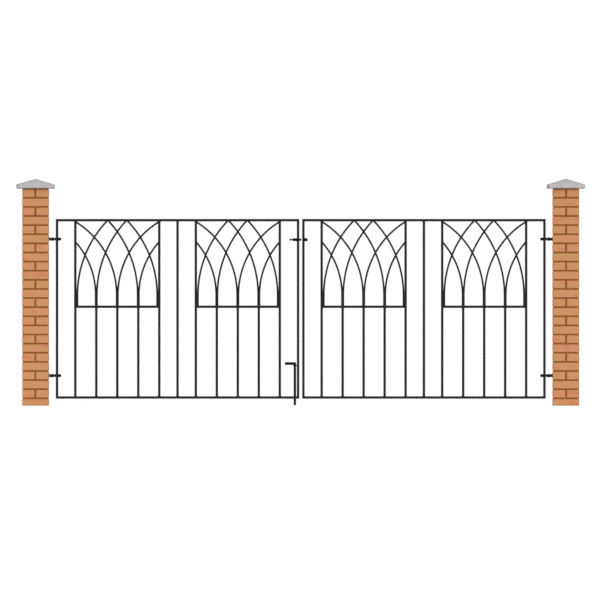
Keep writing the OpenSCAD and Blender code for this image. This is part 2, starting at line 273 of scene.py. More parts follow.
def eased(corners, step):
    """Points along an outline. Each corner is its place and how far its rounding reaches."""
    spots = [np.array(corner[:2]) for corner in corners]
    path = [spots[0]]

    def straight_to(end):
        start = path[-1]
        count = max(1, math.ceil(np.linalg.norm(end - start) / step))
        path.extend(start + (end - start) * i / count for i in range(1, count + 1))

    for before, spot, after, corner in zip(spots, spots[1:], spots[2:], corners[1:]):
        reach = corner[2]
        enter = spot + reach * (before - spot) / np.linalg.norm(before - spot)
        leave = spot + reach * (after - spot) / np.linalg.norm(after - spot)
        straight_to(enter)
        for t in np.linspace(0, 1, ROUND_STEPS + 1)[1:]:
            path.append((1 - t) ** 2 * enter + 2 * t * (1 - t) * spot + t * t * leave)
    straight_to(spots[-1])
    return path


BEAD_PITCH = 3 * MM
BEAD_SIDES = 8
BEAD_RINGS = 5
RIPPLE = 0.16
DRIFT = 0.08
BLUNT_END = 0.02


def bead(a, b, radius, pitch=BEAD_PITCH):
    """A rippled bead from a to b, as a weld or a line of pointing leaves."""
    a, b = np.asarray(a, float), np.asarray(b, float)
    along = b - a
    length = np.linalg.norm(along)
    along = along / length
    other = np.array([0.0, 0.0, 1.0]) if abs(along[2]) < 0.8 else np.array([1.0, 0.0, 0.0])
    across = np.cross(along, other)
    across /= np.linalg.norm(across)
    up = np.cross(along, across)
    count = max(8, round(length / pitch * BEAD_RINGS))
    phase = rng.uniform(0, math.pi)
    drift = rng.normal(0, DRIFT * radius, (count + 1, 2))
    turns = [2 * math.pi * j / BEAD_SIDES for j in range(BEAD_SIDES)]
    rings = []
    for i in range(count + 1):
        t = i / count
        taper = math.sqrt(max(BLUNT_END, 1 - (2 * t - 1) ** 6))
        wave = abs(math.sin(math.pi * t * length / pitch + phase))
        r = radius * taper * (1 - RIPPLE + RIPPLE * wave)
        middle = a + along * length * t + across * drift[i, 0] + up * drift[i, 1]
        rings.append([middle + r * (math.cos(w) * across + math.sin(w) * up) for w in turns])
    return lofted(rings)


BLOB_RINGS = 7
BLOB_SIDES = 8


def blob(centre, radius):
    """A small lump of weld metal."""
    rings = []
    jitter = rng.uniform(0.85, 1.1, (BLOB_RINGS, BLOB_SIDES))
    for i in range(BLOB_RINGS):
        down = math.pi * (i + 0.35) / (BLOB_RINGS - 0.3)
        ring = []
        for j in range(BLOB_SIDES):
            turn = 2 * math.pi * j / BLOB_SIDES
            r = radius * jitter[i, j]
            flat = r * math.sin(down)
            ring.append((flat * math.cos(turn), flat * math.sin(turn), r * math.cos(down)))
        rings.append(np.array(ring) + centre)
    return lofted(rings)


# Materials

def srgb(red, green, blue):
    """Linear colour from display values of 0 to 255."""
    linear = []
    for value in (red, green, blue):
        v = value / 255
        linear.append(v / 12.92 if v <= 0.04045 else ((v + 0.055) / 1.055) ** 2.4)
    return (*linear, 1.0)


class Surface:
    """A material whose colour, roughness and bump come from nodes."""

    def __init__(self, name, specular):
        self.material = bpy.data.materials.new(name)
        self.material.use_nodes = True
        self.tree = self.material.node_tree
        self.shader = self.tree.nodes["Principled BSDF"]
        self.shader.inputs["Specular IOR Level"].default_value = specular
        self.place = self.add("ShaderNodeTexCoord").outputs["Object"]

    def add(self, kind, inputs=None, **settings):
        node = self.tree.nodes.new(kind)
        for key, value in settings.items():
            setattr(node, key, value)
        for key, value in (inputs or {}).items():
            self.feed(node.inputs[key], value)
        return node

    def feed(self, socket, value):
        if isinstance(value, bpy.types.NodeSocket):
            self.tree.links.new(value, socket)
        else:
            socket.default_value = value

    def noise(self, scale, detail=4, roughness=0.55, stretch=(1, 1, 1)):
        place = self.add("ShaderNodeMapping", {"Vector": self.place, "Scale": stretch}).outputs[0]
        inputs = {"Vector": place, "Scale": scale, "Detail": detail, "Roughness": roughness}
        return self.add("ShaderNodeTexNoise", inputs).outputs[0]

    def cells(self, scale):
        node = self.add("ShaderNodeTexVoronoi", {"Vector": self.place, "Scale": scale})
        return node.outputs["Distance"]

    def attribute(self, name):
        return self.add("ShaderNodeAttribute", attribute_name=name).outputs["Fac"]

    def height(self):
        return self.add("ShaderNodeSeparateXYZ", {"Vector": self.place}).outputs["Z"]

    def facing_up(self):
        normal = self.add("ShaderNodeNewGeometry").outputs["Normal"]
        return self.add("ShaderNodeSeparateXYZ", {"Vector": normal}).outputs["Z"]

    def span(self, value, low, high, to_low=0.0, to_high=1.0):
        """The value, taken from the span low to high onto the span to_low to to_high."""
        inputs = {"Value": value, "From Min": low, "From Max": high, "To Min": to_low, "To Max": to_high}
        return self.add("ShaderNodeMapRange", inputs, clamp=True).outputs[0]

    def math(self, operation, a, b):
        return self.add("ShaderNodeMath", {0: a, 1: b}, operation=operation).outputs[0]

    def ramp(self, factor, *stops):
        node = self.add("ShaderNodeValToRGB", {"Fac": factor})
        elements = node.color_ramp.elements
        while len(elements) < len(stops):
            elements.new(0.5)
        for element, (position, colour) in zip(elements, stops):
            element.position = position
            element.color = colour
        return node.outputs["Color"]

    def mix(self, factor, a, b):
        node = self.add("ShaderNodeMix", {0: factor, 6: a, 7: b}, data_type="RGBA")
        return node.outputs[2]

    def finish(self, colour, rough, height, distance, strength):
        inputs = {"Height": height, "Distance": distance, "Strength": strength}
        bump = self.add("ShaderNodeBump", inputs)
        self.feed(self.shader.inputs["Base Color"], colour)
        self.feed(self.shader.inputs["Roughness"], rough)
        self.feed(self.shader.inputs["Normal"], bump.outputs[0])
        return self.material


def brick_material():
    """Orange brick: a tone for each brick, cloudy patches, darker tan arrises that are partly the fired
    edges' own tone and partly painted shade, grit, specks and pits.
    """
    s = Surface("fired_brick", 0.25)
    patches = s.noise(11, detail=4, roughness=0.5, stretch=(1, 1, 2.2))
    clouds = s.math("MULTIPLY", s.span(patches, 0.3, 0.7, 0.1, 0.9), 0.75)
    blend = s.math("ADD", s.math("MULTIPLY", s.attribute("tone"), 0.25), clouds)
    colour = s.ramp(
        blend,
        (0.3, srgb(193, 143, 87)),
        (0.46, srgb(201, 141, 94)),
        (0.6, srgb(208, 138, 103)),
        (0.78, srgb(196, 123, 86)),
    )
    # The arrises are mixed towards a darker tan: partly the brick's fired edges, partly painted shade
    # where rounded edges turn from the light.
    colour = s.mix(s.math("MULTIPLY", s.attribute("edge"), 0.35), colour, srgb(184, 136, 90))
    grit = s.noise(420, detail=3, roughness=0.6)
    colour = s.mix(s.span(grit, 0.4, 0.75, 0.0, 0.28), colour, srgb(218, 168, 120))
    specks = s.span(s.cells(260), 0.0, 0.17, 0.5, 0.0)
    colour = s.mix(specks, colour, srgb(132, 78, 46))
    pits = s.span(s.cells(95), 0.0, 0.12, 1.0, 0.0)
    colour = s.mix(s.math("MULTIPLY", pits, 0.45), colour, srgb(120, 70, 42))
    rough = s.span(patches, 0.3, 0.7, 0.82, 0.95)
    folds = s.noise(90, detail=5, roughness=0.6, stretch=(1, 1, 3))
    raised = s.math("ADD", s.math("MULTIPLY", grit, 0.6), folds)
    height = s.math("SUBTRACT", raised, s.math("MULTIPLY", pits, 0.8))
    return s.finish(colour, rough, height, 0.9 * MM, 0.8)


def mortar_material():
    """Brown mortar with pale sand and dark grains."""
    s = Surface("brown_mortar", 0.2)
    patches = s.noise(35, detail=4, roughness=0.6)
    sand = s.noise(700, detail=2, roughness=0.6)
    colour = s.ramp(
        patches,
        (0.3, srgb(126, 70, 22)),
        (0.5, srgb(140, 80, 28)),
        (0.72, srgb(155, 94, 38)),
    )
    colour = s.mix(s.span(sand, 0.45, 0.8, 0.0, 0.4), colour, srgb(186, 136, 78))
    colour = s.mix(s.span(s.cells(420), 0.0, 0.2, 0.5, 0.0), colour, srgb(98, 60, 30))
    rough = s.span(patches, 0.3, 0.7, 0.9, 0.98)
    height = s.math("ADD", sand, s.math("MULTIPLY", patches, 0.7))
    return s.finish(colour, rough, height, 1.2 * MM, 0.8)


def stone_material():
    """Grey cast stone with pits, paler where it looks up as painted light, and stained along its
    arrises, where the left upright arrises also carry painted shade.
    """
    s = Surface("cast_stone", 0.3)
    cloud = s.noise(18, detail=6, roughness=0.6)
    grain = s.noise(520, detail=3, roughness=0.65)
    colour = s.ramp(
        cloud,
        (0.28, srgb(177, 174, 173)),
        (0.5, srgb(187, 184, 183)),
        (0.72, srgb(196, 194, 191)),
    )
    colour = s.mix(s.span(grain, 0.5, 0.8, 0.0, 0.35), colour, srgb(214, 212, 207))
    pits = s.span(s.cells(150), 0.0, 0.13, 1.0, 0.0)
    colour = s.mix(s.math("MULTIPLY", pits, 0.5), colour, srgb(120, 119, 117))
    # Painted light: faces that look up are mixed towards a paler grey, standing in for the light they
    # catch.
    painted_top_light = s.span(s.facing_up(), 0.3, 0.95, 0.0, 0.7)
    colour = s.mix(painted_top_light, colour, srgb(201, 200, 199))
    broken = s.span(s.noise(60, detail=4, roughness=0.7), 0.25, 0.6, 0.6, 1.0)
    # The stain also carries painted shade on the cap's left upright arrises.
    stain = s.math("MULTIPLY", s.attribute("stain"), broken)
    colour = s.mix(stain, colour, srgb(72, 71, 70))
    rough = s.span(cloud, 0.3, 0.7, 0.78, 0.92)
    height = s.math("SUBTRACT", s.math("MULTIPLY", grain, 0.5), pits)
    return s.finish(colour, rough, height, 0.7 * MM, 0.6)


def steel_material(name, base, specular, gloss):
    """Black paint on steel, with dust where it looks up and splashes near the ground."""
    s = Surface(name, specular)
    patches = s.noise(9, detail=5, roughness=0.6)
    peel = s.noise(900, detail=2, roughness=0.5)
    dark = tuple(0.7 * c for c in base) + (1.0,)
    light = tuple(1.35 * c for c in base) + (1.0,)
    colour = s.ramp(patches, (0.3, dark), (0.7, light))
    lying = s.span(s.facing_up(), 0.5, 1.0, 0.0, 0.4)
    dust = s.math("MULTIPLY", lying, s.span(s.noise(70, detail=5, roughness=0.7), 0.4, 0.75))
    low_down = s.span(s.height(), 0.02, 0.32, 0.35, 0.0)
    splash = s.math("MULTIPLY", low_down, s.span(s.noise(160, detail=4, roughness=0.7), 0.55, 0.75))
    colour = s.mix(s.math("MAXIMUM", dust, splash), colour, srgb(86, 79, 70))
    worn = s.math("ADD", patches, s.math("MULTIPLY", peel, 0.3))
    rough = s.span(worn, 0.4, 0.9, gloss, gloss + 0.14)
    return s.finish(colour, rough, peel, 0.06 * MM, 0.5)


ARCH_BLACK = (0.0035, 0.0035, 0.004)
GATE_BLACK = (0.0045, 0.0045, 0.005)
FITTING_BLACK = (0.002, 0.002, 0.0022)

brick_look = brick_material()
mortar_look = mortar_material()
stone_look = stone_material()
arch_look = steel_material("arch_paint", ARCH_BLACK, specular=0.15, gloss=0.42)
steel_looks = {
    "gate_steel": steel_material("gate_paint", GATE_BLACK, specular=0.15, gloss=0.4),
    "hinge_steel": steel_material("hinge_paint", FITTING_BLACK, specular=0.08, gloss=0.4),
    "bolt_steel": steel_material("bolt_paint", FITTING_BLACK, specular=0.08, gloss=0.4),
}


# Brick piers

COURSE = 73.78 * MM
BED_JOINT = 12 * MM
CROSS_JOINT = 14 * MM
TOP_BED = 7.5 * MM
ARRIS = 2.5 * MM
BRICK_STEP = 11 * MM
BRICK_NEAR = np.array([0.0, 1.2, 3.0, 7.0]) * MM
BRICK_WAVE = 0.35 * MM
BRICK_GRAIN = 0.15 * MM
BRICK_CHIPS = (3, 8)
BRICK_CHIP_REACH = (5 * MM, 13 * MM)
BRICK_CHIP_DEPTH = (0.8 * MM, 2.6 * MM)
ARRIS_TONE_AND_SHADE_REACH = 6 * MM
JOINT_BACK = 2.2 * MM
JOINT_HOLLOW = 2 * MM
JOINT_ROUGH = 0.45 * MM
JOINT_GRAIN = 130
JOINT_STATIONS = np.array([-1.3, -1, -0.5, 0, 0.5, 1, 1.3]) * CROSS_JOINT / 2
FACE_STATIONS = np.linspace(-PIER_HALF, PIER_HALF, 19)
LEAST_STEP = 0.4 * MM
COLLAR_Y = 15.5 * MM
COLLAR_Z = 14 * MM
COLLAR_OVER = 0.5 * MM
COLLAR_SUNK = 0.5 * MM
COLLAR_R = 3 * MM
COLLAR_PITCH = 15 * MM

# The four faces of a pier: the way each looks, and the way along it
FACES = (((0, -1), (1, 0)), ((1, 0), (0, 1)), ((0, 1), (-1, 0)), ((-1, 0), (0, -1)))


def brick(low, high, seed):
    """One brick: rounded arrises, an uneven face and a few chips, all inside its box."""
    points, quads = box_grid(*(stops(a, b, BRICK_STEP, BRICK_NEAR) for a, b in zip(low, high)))
    core, out = rounded(points, low, high, ARRIS)
    to_edge = np.sort(np.minimum(points - low, high - points), axis=1)[:, 1]
    sunk = uneven(points, (BRICK_WAVE, 40, seed), (BRICK_GRAIN, 170, seed + 5))
    arrises = np.flatnonzero(to_edge < 1e-6)
    sunk += chips(points, arrises, rng.integers(*BRICK_CHIPS), BRICK_CHIP_REACH, BRICK_CHIP_DEPTH)
    # The last value grows towards the arrises and darkens them, partly as fired-edge tone and partly as
    # painted shade.
    return core + out * (ARRIS - sunk)[:, None], quads, np.exp(-to_edge / ARRIS_TONE_AND_SHADE_REACH)


def courses():
    """Bottom and top of each course of bricks, from under the cap to the ground."""
    top = PIER_TOP - TOP_BED
    made = []
    while top > BED_JOINT:
        made.append((max(0.0, top - COURSE + BED_JOINT), top))
        top -= COURSE
    return made


def bricks(side):
    """All bricks of a pier: two to a course, turned by a quarter from course to course."""
    skins = Skins()
    for k, (bottom, top) in enumerate(courses()):
        axis = k % 2
        for half in (-1, 1):
            low = np.array([-PIER_HALF, -PIER_HALF, bottom])
            high = np.array([PIER_HALF, PIER_HALF, top])
            if half < 0:
                high[axis] = -CROSS_JOINT / 2
            else:
                low[axis] = CROSS_JOINT / 2
            points, quads, edge = brick(low, high, rng.uniform(0, 100))
            points[:, 0] += PIER_X[side]
            tone = float(np.clip(rng.normal(0.5, 0.2), 0.0, 1.0))
            skins.add(points, quads, tone=tone, edge=edge)
    return skins


def mortar_core(side):
    """The bed and its joints: a core set back from the faces, hollowed along each joint."""
    along = np.unique(np.concatenate([FACE_STATIONS, JOINT_STATIONS]))[:-1]
    along = along[np.concatenate([[True], np.diff(along) > LEAST_STEP])]
    tops = [top for _, top in courses()]
    beds = [top + BED_JOINT / 2 for top in tops]
    rows = {0.0, PIER_TOP}
    for bottom, top in courses():
        rows.update(bottom + (top - bottom) * f for f in (0.0, 0.2, 0.4, 0.6, 0.8, 1.0))
        rows.update(top + BED_JOINT * f for f in (0.25, 0.5, 0.75) if top + BED_JOINT * f < PIER_TOP)
    rings = []
    for z in sorted(rows):
        k = max(0, sum(1 for top in tops if top > z + 1e-9) - 1)
        from_bed = min(abs(z - bed) for bed in beds) / (BED_JOINT / 2)
        ring = []
        for n, t in FACES:
            has_cross_joint = (n[0] == 0) == (k % 2 == 0)
            for s in along:
                gap = from_bed
                if has_cross_joint:
                    gap = min(gap, abs(s) / (CROSS_JOINT / 2))
                depth = JOINT_BACK + JOINT_HOLLOW * max(0.0, 1 - gap * gap)
                spot = Vector((n[0] * PIER_HALF + t[0] * s, n[1] * PIER_HALF + t[1] * s, z))
                grain = noise.noise(spot * JOINT_GRAIN + Vector((PIER_X[side], 3, 7)))
                depth += JOINT_ROUGH * (1 + grain)
                reach = PIER_HALF - depth
                s_in = min(max(s, -reach), reach)
                ring.append((n[0] * reach + t[0] * s_in, n[1] * reach + t[1] * s_in, z))
        rings.append(np.array(ring) + (PIER_X[side], 0, 0))
    return lofted(rings)


def mortar(side):
    """The mortar of a pier, with a collar of pointing round each hinge fork."""
    skins = Skins()
    skins.add(*mortar_core(side))
    face = PIER_HALF - COLLAR_SUNK
    x = PIER_X[side] + (face if side == "left" else -face)
    end = COLLAR_Y + COLLAR_OVER
    for z in HINGE_Z.values():
        for sign in (-1, 1):
            y = sign * COLLAR_Y
            skins.add(*bead((x, y, z - COLLAR_Z), (x, y, z + COLLAR_Z), COLLAR_R, COLLAR_PITCH))
            edge = z + sign * COLLAR_Z
            skins.add(*bead((x, -end, edge), (x, end, edge), COLLAR_R, COLLAR_PITCH))
    return skins


# Pier caps

CAP_STEP = 6 * MM
SIDE_STEP = 0.16
CAP_NEAR = np.array([0.0, 3.0, 7.0, 14.0, 25.0]) * MM / CAP_HALF
CAP_CORNER = 3.5 * MM
UNDERSIDE_MIDDLE = 8 * MM
PEAK_MIDDLE = 2 * MM
LIP_EASE = 0.6 * MM
GROOVE_EASE = 1.2 * MM
LOWER_EASE = 4.5 * MM
UPPER_EASE = 4 * MM
PEAK_EASE = 2 * MM
CAP_WAVE = 0.3 * MM
CAP_GRAIN = 0.15 * MM
CAP_CHIPS = 7
CAP_CHIP_REACH = (6 * MM, 14 * MM)
CAP_CHIP_DEPTH = (0.8 * MM, 2.2 * MM)
HIP_STAIN = 0.85
HIP_REACH = 12 * MM
# Painted shade: the left upright arrises are stained more darkly than the right ones.
LEFT_STAIN_AND_SHADE = 0.95
RIGHT_STAIN = 0.3
CORNER_REACH = 10 * MM
DRIP_STAIN = 0.8
DRIP_REACH = 4 * MM


def cap_stain(h, z, to_hip, x):
    """Dark weathering along the hips, the lower edge and the upright arrises. The left upright arrises
    are darker, as in the photograph, and that extra darkness is painted shade."""
    if z > CAP_EDGE:
        arris = HIP_STAIN * math.exp(-((to_hip / HIP_REACH) ** 2))
    else:
        side_stain = LEFT_STAIN_AND_SHADE if x < 0 else RIGHT_STAIN
        arris = side_stain * math.exp(-((to_hip / CORNER_REACH) ** 2))
    drip = DRIP_STAIN * math.exp(-z / DRIP_REACH) if h > 0.95 * CAP_HALF else 0.0
    return max(arris, drip)


def cap(side):
    """Cast stone cap: drip groove, eased arrises and shallow chips, stained along its arrises, with
    painted shade on the left upright arrises.
    """
    profile = eased([
        (UNDERSIDE_MIDDLE, 0, 0),
        (DRIP_IN, 0, LIP_EASE),
        (DRIP_IN, DRIP_D, GROOVE_EASE),
        (DRIP_OUT, DRIP_D, GROOVE_EASE),
        (DRIP_OUT, 0, LIP_EASE),
        (CAP_HALF, 0, LOWER_EASE),
        (CAP_HALF, CAP_EDGE, UPPER_EASE),
        (CAP_PEAK, CAP_H, PEAK_EASE),
        (PEAK_MIDDLE, CAP_H, 0),
    ], CAP_STEP)
    share = stops(-1.0, 1.0, SIDE_STEP, CAP_NEAR)
    stain = []
    rings = []
    for h, z in profile:
        ring = []
        for n, t in FACES:
            for s in share[:-1]:
                p = np.array([n[0] * h + t[0] * s * h, n[1] * h + t[1] * s * h])
                r = min(CAP_CORNER, 0.45 * h)
                inside = np.clip(p, -(h - r), h - r)
                out = p - inside
                size = np.linalg.norm(out)
                if size > 0:
                    p = inside + out / size * r
                ring.append((p[0], p[1], z))
                stain.append(cap_stain(h, z, h * (1 - abs(s)), p[0]))
        rings.append(np.array(ring))
    points, faces = lofted(rings)
    inward = np.array([0.0, 0.0, CAP_EDGE]) - points
    inward /= np.linalg.norm(inward, axis=1, keepdims=True)
    sunk = uneven(points, (CAP_WAVE, 30, len(side)), (CAP_GRAIN, 120, 4))
    outer = np.flatnonzero(np.max(np.abs(points[:, :2]), axis=1) > 0.98 * CAP_HALF)
    sunk += chips(points, outer, CAP_CHIPS, CAP_CHIP_REACH, CAP_CHIP_DEPTH)
    points = points + inward * sunk[:, None] + (PIER_X[side], 0, PIER_TOP)
    points[:, 2] = np.maximum(points[:, 2], PIER_TOP)
    skins = Skins()
    skins.add(points, faces, stain=stain)
    return skins


for side in ("left", "right"):
    block = [f"{side}_pier"]
    piece(f"{side}_pier_bricks", bricks(side), brick_look, "piers", block, crease=50)
    piece(f"{side}_pier_mortar", mortar(side), mortar_look, "piers", block, crease=60)
    stone = [f"{side}_pier_cap"]
    piece(f"{side}_cap_stone", cap(side), stone_look, "piers", stone, crease=40)


# Arch tracery. The outer feet bite a little into the bars beside them, the far ends into the
# rail or bar that they meet, and the layers into each other, as welded pieces do.

FOOT_BITE = 0.3 * MM
END_BITE = 0.4 * MM
LAYER_BITE = 0.5 * MM
ARCH_EASE = 1 * MM
ARCH_STEP = 11 * MM
FOOT_RINGS = 7


def arches():
    """The arch bars of one layer: where each stands upright, its radius, and its far end."""
    mid = PANEL_W / 2
    far = PANEL_W - BAR / 2
    beside = FOOT_SPREAD / 2
    rail_mid = LEAF_Z1 - FRAME_W / 2
    ends = [
        (BAR / 2 - FOOT_BITE + ARCH_W / 2, mid - APEX_OFFSET, rail_mid),
        (PANEL_W / 4 + beside, mid + APEX_OFFSET, rail_mid),
        (PANEL_W / 2 + beside, far, RAIL_UNDER - CORNER_DROP),
        (3 * PANEL_W / 4 + beside, far, RAIL_UNDER - SIDE_ARCH_DROP),
    ]
    made = []
    for u, u1, z1 in ends:
        run, rise = u1 - u, z1 - ARCH_UP
        made.append((u, (run * run + rise * rise) / (2 * run), u1, z1))
    return made


def arch_bar(u, radius, front, flip):
    """One arch bar as a swept bar with eased arrises, cut to the panel's opening."""
    y0, y1 = (-ARCH_D, LAYER_BITE) if front else (-LAYER_BITE, ARCH_D)
    section = eased_rectangle(-ARCH_W / 2, ARCH_W / 2, y0, y1, ARCH_EASE)
    far_x = PANEL_W - BAR / 2 + END_BITE
    far_z = RAIL_UNDER + END_BITE

    def last(r):
        """The angle at which the line at radius r meets the rail or the bar."""
        at_bar = math.acos(min(1.0, max(-1.0, (u + radius - far_x) / r)))
        at_rail = math.asin(min(1.0, (far_z - ARCH_UP) / r))
        return min(at_bar, at_rail)

    count = max(16, round(last(radius) * radius / ARCH_STEP))
    feet = np.linspace(MID_TOP - END_BITE, ARCH_UP, FOOT_RINGS, endpoint=False)
    rings = [[(u - out, y, z) for out, y in section] for z in feet]
    for i in range(count + 1):
        ring = []
        for out, y in section:
            r = radius + out
            angle = last(r) * i / count
            ring.append((u + radius - r * math.cos(angle), y, ARCH_UP + r * math.sin(angle)))
        rings.append(ring)
    if flip:
        rings = [[(PANEL_W - x, y, z) for x, y, z in ring] for ring in rings]
    return lofted(rings)


def tracery(panel):
    """Both layers of one panel. The back layer leans the other way."""
    skins = Skins()
    for u, radius, _, _ in arches():
        for front in (True, False):
            points, faces = arch_bar(u, radius, front, not front)
            points[:, 0] += panel
            skins.add(points, faces)
    return skins


# Welds of a leaf

BAR_BEAD = 2.6 * MM
ARCH_BEAD = 1.8 * MM
ARCH_BEAD_REACH = 3 * MM
CORNER_INSET = 1.5 * MM
BAR_INSET = 0.5 * MM
RAIL_CLEAR = 2 * MM
CROSSING_CLEAR = 6 * MM
CROSSING_BLOB = 2.1 * MM
CROSSING_Y = -0.6 * MM
LEAST_TURN = 0.25

# From the middle of a slanting arch end to its weld beads, in widths of the bar
AT_RAIL = 0.68
AT_BAR = 0.8


def crossings():
    """Where a bar of the front layer crosses one of the back layer: its place in the panel, and
    the step from there to a corner of the crossing."""
    found = []
    for u, r, u1, z1 in arches():
        for v, q, v1, w1 in arches():
            ca, cb = u + r, PANEL_W - v - q
            x = ((ca * ca - cb * cb) - (r * r - q * q)) / (2 * (ca - cb))
            rise = r * r - (x - ca) ** 2
            if rise <= 0:
                continue
            z = ARCH_UP + math.sqrt(rise)
            inside = u < x < u1 and PANEL_W - v1 < x < PANEL_W - v
            if not inside or z > min(z1, w1, RAIL_UNDER) - CROSSING_CLEAR:
                continue
            ta = np.array([z - ARCH_UP, ca - x]) / r
            tb = np.array([z - ARCH_UP, cb - x]) / q
            turn = abs(ta[0] * tb[1] - ta[1] * tb[0])
            step = (ta - tb) * ARCH_W / (2 * max(turn, LEAST_TURN))
            found.append((x, z, step))
    return found


def across(skins, x, z, reach, radius, middle=0.0):
    """Adds a bead that runs from front to back at one place of the leaf."""
    skins.add(*bead((x, middle - reach, z), (x, middle + reach, z), radius))


def arch_welds(skins, panel):
    """Beads at the foot and the far end of each arch bar of a panel."""
    for u, r, _, z1 in arches():
        for back in (False, True):
            middle = ARCH_D / 2 if back else -ARCH_D / 2
            foot = panel + (PANEL_W - u if back else u)
            for sign in (-1, 1):
                across(skins, foot + sign * ARCH_W / 2, MID_TOP, ARCH_BEAD_REACH, ARCH_BEAD, middle)
            if z1 > RAIL_UNDER:
                top = u + r - math.sqrt(r * r - (RAIL_UNDER - ARCH_UP) ** 2)
                end = panel + (PANEL_W - top if back else top)
                spots = [(end + sign * ARCH_W * AT_RAIL, RAIL_UNDER) for sign in (-1, 1)]
            else:
                end = panel + (BAR / 2 if back else PANEL_W - BAR / 2)
                highest = RAIL_UNDER - RAIL_CLEAR
                spots = [(end, min(z1 + sign * ARCH_W * AT_BAR, highest)) for sign in (-1, 1)]
            for x, z in spots:
                across(skins, x, z, ARCH_BEAD_REACH, ARCH_BEAD, middle)


def leaf_welds():
    """Weld beads of one leaf: at its corners, the bars' ends, the mid rails and the tracery."""
    skins = Skins()
    for x in (LEAF_X0 + FRAME_W, LEAF_X1 - FRAME_W):
        for z in (RAIL_TOP, RAIL_UNDER):
            across(skins, x, z, FRAME_D / 2 - CORNER_INSET, BAR_BEAD)
    reach = BAR / 2 - BAR_INSET
    bars = [(x, RAIL_UNDER) for x in TALL_X] + [(x, MID_LOW) for x in SHORT_X]
    for x, top in bars:
        for z in (RAIL_TOP, top):
            for sign in (-1, 1):
                across(skins, x + sign * BAR / 2, z, reach, BAR_BEAD)
    for panel in PANEL_X:
        for x in (panel + BAR / 2, panel + PANEL_W - BAR / 2):
            for z in (MID_LOW, MID_TOP):
                across(skins, x, z, reach, BAR_BEAD)
        arch_welds(skins, panel)
        for x, z, step in crossings():
            for sign in (-1, 1):
                spot = (panel + x + sign * step[0], CROSSING_Y, z + sign * step[1])
                skins.add(*blob(np.array(spot), CROSSING_BLOB))
    return skins


# Hinges. The eyes are 1.5 mm larger in radius than the solids and the shanks start 1 mm nearer
# to the pin, so that less light shows between the pieces from the front.

EYE_R = 16.5 * MM
EYE_EASE = 1.2 * MM
EYE_STEPS = 64
NECK_X0 = PIN_X + 11 * MM
NECK_HALF = 7 * MM
NECK_STEP = 4 * MM
NECK_NEAR = np.array([0.0, 0.5, 1.2]) * MM
SHANK_X0 = PIN_X + 14.5 * MM
NECK_X1 = SHANK_X0 + 2 * MM
THREAD_TOP = SHANK_R - 0.04 * MM
THREAD_ROOT = 6.8 * MM
THREAD_PITCH = 2 * MM
THREAD_ROWS = 6
THREAD_SIDES = 28
NECK_END_R = 7.4 * MM
FREE_END_R = 6.6 * MM
NUT_STEPS = 72
NUT_FACE = 0.95 * NUT_HALF
NUT_HOLE = SHANK_R - 0.5 * MM
NUT_EASE = 0.8 * MM
NUT_SLOPE = math.tan(math.radians(30))


def neck(z):
    """The block between the eye and its shank."""
    xs = stops(NECK_X0, NECK_X1, NECK_STEP, NECK_NEAR)
    ys = stops(-NECK_HALF, NECK_HALF, NECK_STEP, NECK_NEAR)
    zs = stops(z - EYE_T / 2, z + EYE_T / 2, NECK_STEP, NECK_NEAR)
    points, quads = box_grid(xs, ys, zs)
    low = np.array([xs[0], ys[0], zs[0]])
    high = np.array([xs[-1], ys[-1], zs[-1]])
    core, out = rounded(points, low, high, EYE_EASE)
    return core + out * EYE_EASE, quads


def shank(z):
    """The round bar behind the eye, with a helical thread that runs out at both ends."""
    rows = round((SHANK_X1 - SHANK_X0) / THREAD_PITCH * THREAD_ROWS)
    rings = []
    for i in range(rows + 1):
        x = SHANK_X0 + (SHANK_X1 - SHANK_X0) * i / rows
        largest = min(x - SHANK_X0 + NECK_END_R, SHANK_X1 - x + FREE_END_R)
        ring = []
        for j in range(THREAD_SIDES):
            angle = 2 * math.pi * j / THREAD_SIDES
            turn = (x / THREAD_PITCH - j / THREAD_SIDES) % 1.0
            crest = min(max(1.3 * (1 - abs(2 * turn - 1)) - 0.15, 0.0), 1.0)
            r = min(THREAD_ROOT + (THREAD_TOP - THREAD_ROOT) * crest, largest)
            ring.append((x, r * math.cos(angle), z + r * math.sin(angle)))
        rings.append(ring)
    return lofted(rings)


def eye(z):
    """Flat eye with eased edges, its neck and its shank."""
    loop = eased_rectangle(PIN_BORE, EYE_R, -EYE_T / 2, EYE_T / 2, EYE_EASE)

    def upright(r, angle, height):
        return (PIN_X + r * math.cos(angle), r * math.sin(angle), z + height)

    skins = Skins()
    skins.add(*turned(lambda angle: loop, upright, EYE_STEPS))
    skins.add(*neck(z))
    skins.add(*shank(z))
    return skins


def nut(x0, z, thick):
    """A nut on a shank, with the corners turned off as on stock nuts."""
    half = thick / 2

    def outline(angle):
        corner = NUT_HALF / math.cos(angle % (math.pi / 3) - math.pi / 6)
        cut = half - (corner - NUT_FACE) * NUT_SLOPE
        return [
            (NUT_HOLE, -half + NUT_EASE),
            (NUT_HOLE + NUT_EASE, -half),
            (NUT_FACE, -half),
            (corner, -cut),
            (corner, cut),
            (NUT_FACE, half),
            (NUT_HOLE + NUT_EASE, half),
            (NUT_HOLE, half - NUT_EASE),
        ]

    def lying(r, angle, height):
        return (x0 + half + height, r * math.cos(angle), z + r * math.sin(angle))

    return turned(outline, lying, NUT_STEPS)


def nuts():
    """Lock nut and nut on each shank, on either side of the stile."""
    skins = Skins()
    for z in HINGE_Z.values():
        skins.add(*nut(LEAF_X0 - LOCK_NUT_T, z, LOCK_NUT_T))
        skins.add(*nut(LEAF_X0 + FRAME_W, z, NUT_T))
    return skins


